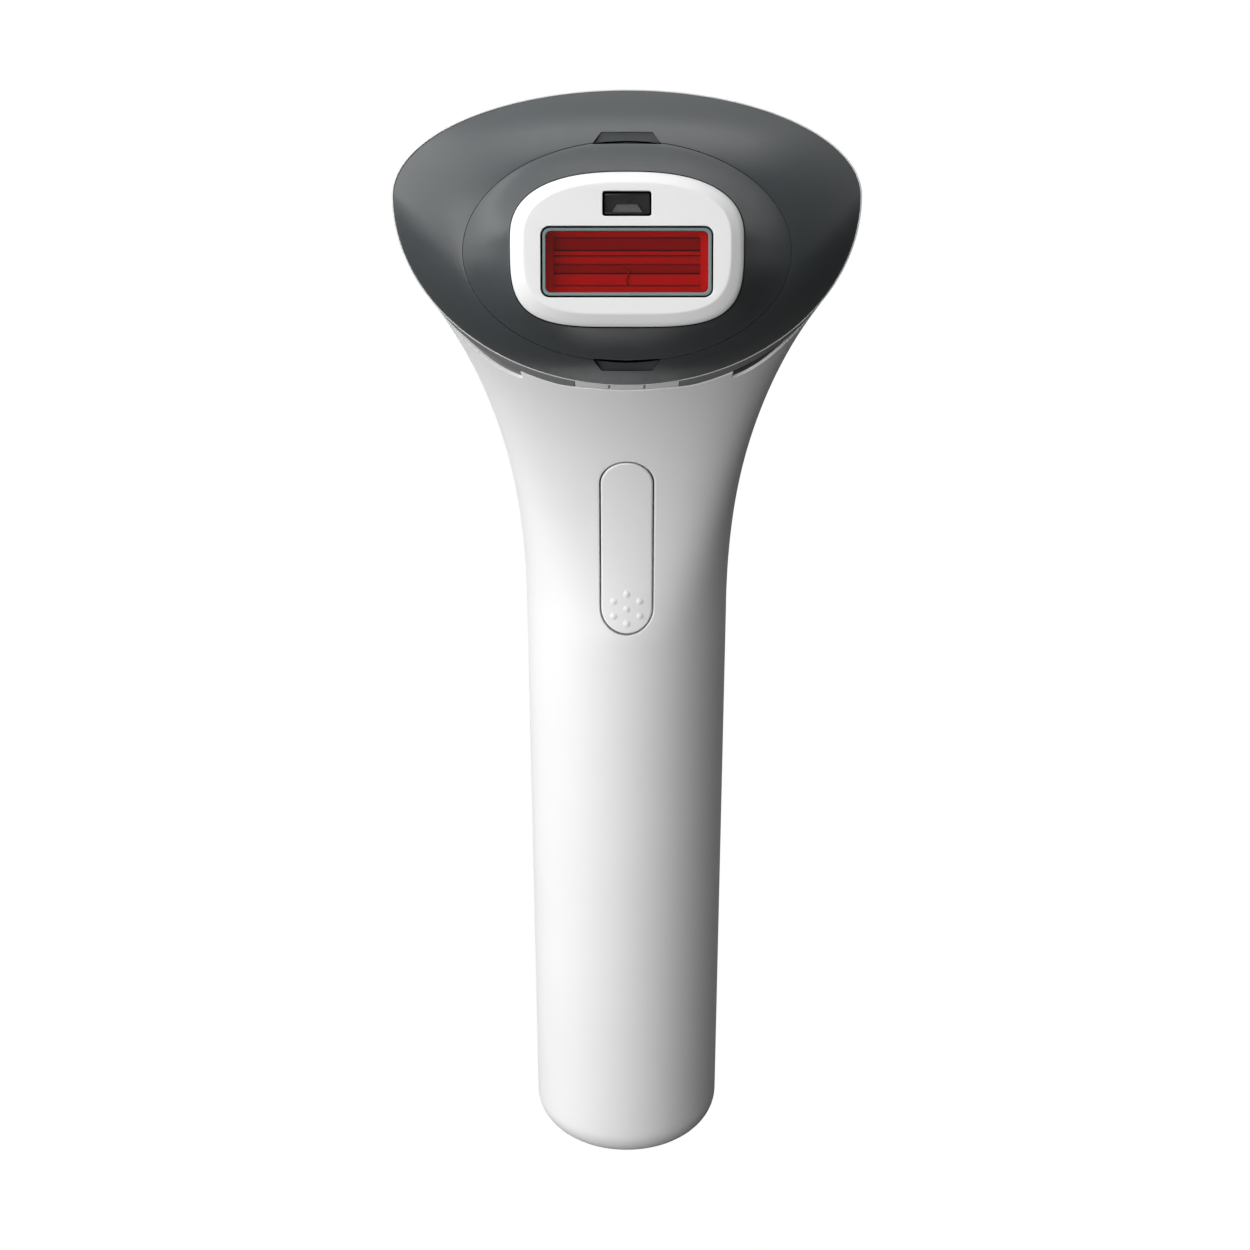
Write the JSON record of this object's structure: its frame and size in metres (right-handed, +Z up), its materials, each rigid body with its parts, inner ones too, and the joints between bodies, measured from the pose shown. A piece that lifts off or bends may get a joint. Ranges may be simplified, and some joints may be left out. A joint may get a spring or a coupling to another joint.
{
  "type": "ipl hair remover",
  "caption": "Upright handheld light-based hair remover: white flared body, dark domed head with a filtered window in a white pressure frame, and a flash button.",
  "frame": {"origin": "middle of the flat end of the handle, on which the device stands", "axes": "+Z up the handle, -Y towards the side that the window faces, +X to the right seen from the window's side"},
  "size_m": [0.0808, 0.0705, 0.2148],
  "materials": {
    "white_shell": "satin",
    "white_button": "satin",
    "white_frame": "satin",
    "dark_bezel": "satin",
    "grey_trim": "satin",
    "teal_ring": "satin",
    "red_glass": "gloss",
    "clear_glass": "gloss",
    "sensor_window": "gloss",
    "mirror_metal": "polished",
    "steel": "satin",
    "switch_stem": "matte",
    "brass": "satin",
    "copper_winding": "satin",
    "aluminium": "satin",
    "circuit_board": "satin",
    "black_plastic": "matte",
    "ceramic": "matte",
    "cell_wrap": "satin",
    "capacitor_can": "satin"
  },
  "bodies": {
    "housing": {"attachment_seat": "black_plastic", "base_plate": "white_shell", "base_screw_left": "steel", "base_screw_right": "steel", "battery_cell_left": "cell_wrap", "battery_cell_right": "cell_wrap", "bezel_ring": "dark_bezel", "chassis": "black_plastic", "chassis_screw_1": "steel", "chassis_screw_2": "steel", "chassis_screw_3": "steel", "chassis_screw_4": "steel", "collar_clip_left": "white_shell", "collar_clip_right": "white_shell", "collar_tab": "white_shell", "dc_socket": "black_plastic", "fan_frame": "black_plastic", "flash_capacitor": "capacitor_can", "flash_lamp": "clear_glass", "flash_switch_body": "black_plastic", "front_shell": "white_shell", "heat_sink": "aluminium", "intensity_light_guide": "clear_glass", "intensity_switch_body": "black_plastic", "lamp_electrode_left": "steel", "lamp_electrode_right": "steel", "lamp_housing": "ceramic", "lamp_reflector": "mirror_metal", "main_board": "circuit_board", "power_switch_body": "black_plastic", "ready_light": "clear_glass", "rear_grille": "grey_trim", "rear_panel": "grey_trim", "rear_shell": "white_shell", "socket_pin": "brass", "switch_board": "circuit_board", "trigger_clip": "steel", "trigger_transformer": "copper_winding", "ui_board": "circuit_board", "uv_filter": "clear_glass", "vent_collar": "grey_trim"},
    "flash_button": {"flash_button": "white_button"},
    "flash_switch": {"flash_switch_plunger": "switch_stem"},
    "power_key": {"power_button": "white_button"},
    "power_switch": {"power_switch_plunger": "switch_stem"},
    "intensity_key": {"intensity_button": "white_button"},
    "intensity_switch": {"intensity_switch_plunger": "switch_stem"},
    "attachment": {"attachment_cap": "dark_bezel", "attachment_base": "black_plastic", "window_frame": "teal_ring", "red_filter": "red_glass", "light_tunnel": "mirror_metal", "sensor_lens": "sensor_window", "sensor_housing": "black_plastic", "contact_strip": "brass", "frame_spring_left": "steel", "frame_spring_right": "steel"},
    "skin_frame": {"safety_frame": "white_frame"},
    "fan": {"fan_rotor": "black_plastic"}
  },
  "joints": [
    {"name": "flash_button_press", "type": "hinge", "parent": "housing", "child": "flash_button", "pos_m": [0, -0.0203, 0.1467], "axis": [1, 0, 0], "range_deg": [0, 1], "stiffness_Nm_per_rad": 0.5, "springref_deg": -0.57},
    {"name": "flash_switch_press", "type": "slide", "parent": "housing", "child": "flash_switch", "axis": [0, 1, 0], "range_m": [0, 0.0006]},
    {"name": "power_button_press", "type": "slide", "parent": "housing", "child": "power_key", "axis": [0, -1, 0], "range_m": [0, 0.0005], "stiffness_N_per_m": 1500, "springref_m": -0.0003},
    {"name": "power_switch_press", "type": "slide", "parent": "housing", "child": "power_switch", "axis": [0, -1, 0], "range_m": [0, 0.0005]},
    {"name": "intensity_button_press", "type": "slide", "parent": "housing", "child": "intensity_key", "axis": [0, -1, 0], "range_m": [0, 0.0005], "stiffness_N_per_m": 1500, "springref_m": -0.0003},
    {"name": "intensity_switch_press", "type": "slide", "parent": "housing", "child": "intensity_switch", "axis": [0, -1, 0], "range_m": [0, 0.0005]},
    {"name": "attachment_pull", "type": "slide", "parent": "housing", "child": "attachment", "axis": [0, -0.9659, 0.2588], "range_m": [0, 0.022]},
    {"name": "frame_press", "type": "slide", "parent": "attachment", "child": "skin_frame", "axis": [0, 0.9659, -0.2588], "range_m": [0, 0.0008], "stiffness_N_per_m": 800, "springref_m": -0.0005, "deforming": ["frame_spring_left", "frame_spring_right"]},
    {"name": "fan_spin", "type": "hinge", "parent": "housing", "child": "fan", "pos_m": [0, -0.00565, 0.15103], "axis": [0, -0.8737, 0.4865], "continuous": true}
  ],
  "couplings": [
    {"joint": "flash_switch_press", "follows": "flash_button_press", "m_per_rad": 0.0278},
    {"joint": "power_switch_press", "follows": "power_button_press", "ratio": 1},
    {"joint": "intensity_switch_press", "follows": "intensity_button_press", "ratio": 1}
  ]
}
